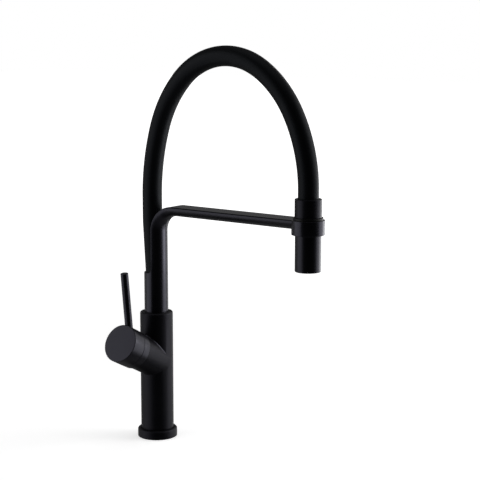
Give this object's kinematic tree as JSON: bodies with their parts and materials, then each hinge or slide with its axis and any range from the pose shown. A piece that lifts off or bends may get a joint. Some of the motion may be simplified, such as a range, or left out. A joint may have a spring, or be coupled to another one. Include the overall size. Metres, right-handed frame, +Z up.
{
  "type": "kitchen mixer tap with pull-out spray",
  "caption": "Matte black single-lever kitchen mixer with an arched rubber hose and a spray head held in a ring on a straight swivelling arm.",
  "frame": {"origin": "centre of the foot's underside, on the worktop", "axes": "+Z up, +X along the arm towards the spray head, the valve housing and handle face -Y"},
  "size_m": [0.2865, 0.1099, 0.5182],
  "materials": {
    "matte_black": "matte",
    "hose_rubber": "matte",
    "pressure_hose": "satin",
    "seal_rubber": "matte",
    "black_plastic": "matte",
    "white_plastic": "satin",
    "ceramic": "gloss",
    "brass": "satin",
    "copper": "satin",
    "steel": "satin"
  },
  "bodies": {
    "base": {"base_flange": "matte_black", "base_gasket": "seal_rubber", "mounting_plug": "brass", "inlet_tube_hot": "copper", "inlet_tube_cold": "copper", "column_tube": "matte_black", "body": "matte_black", "swivel_screw": "steel", "slip_washer": "white_plastic", "cartridge_seal": "seal_rubber", "cartridge_shell": "white_plastic", "fixed_disc": "ceramic", "cartridge_nut": "brass"},
    "valve_drum": {"stem_guide": "white_plastic", "pivot_pin": "steel"},
    "handle": {"handle_cap": "matte_black", "lever_pin": "matte_black", "handle_screw": "steel", "stem": "steel"},
    "moving_disc": {"moving_disc": "ceramic"},
    "spout": {"spout_spigot": "brass", "spigot_seals": "seal_rubber", "spout_arm": "matte_black", "riser_tube": "copper", "hose_coupling": "brass", "holder_liner": "black_plastic", "hose_sleeve": "hose_rubber", "inner_hose": "pressure_hose"},
    "hose_end": {"hose_collar": "matte_black", "hose_fitting": "brass", "fitting_seal": "seal_rubber"},
    "spray_head": {"head_shell": "matte_black", "head_core": "white_plastic", "core_nut": "brass", "check_valve": "white_plastic", "aerator": "black_plastic"}
  },
  "joints": [
    {"name": "spout_swivel", "type": "hinge", "parent": "base", "child": "spout", "pos_m": [0, 0, 0.15], "axis": [0, 0, 1], "continuous": true},
    {"name": "head_lift", "type": "slide", "parent": "spout", "child": "hose_end", "axis": [0, 0, 1], "range_m": [0, 0.07], "deforming": ["hose_sleeve", "inner_hose"]},
    {"name": "head_spin", "type": "hinge", "parent": "hose_end", "child": "spray_head", "pos_m": [0.24, 0, 0.3], "axis": [0, 0, 1], "continuous": true},
    {"name": "temperature", "type": "hinge", "parent": "base", "child": "valve_drum", "pos_m": [0, -0.0408, 0.12294], "axis": [0, -0.887, 0.4617], "range_deg": [-45, 45]},
    {"name": "lever_tilt", "type": "hinge", "parent": "valve_drum", "child": "handle", "pos_m": [0, -0.0408, 0.12294], "axis": [1, 0, 0], "range_deg": [0, 20]},
    {"name": "disc_slide", "type": "slide", "parent": "valve_drum", "child": "moving_disc", "axis": [0, 0.4617, 0.887], "range_m": [0, 0.00355]}
  ],
  "couplings": [
    {"joint": "disc_slide", "follows": "lever_tilt", "m_per_rad": 0.01}
  ]
}
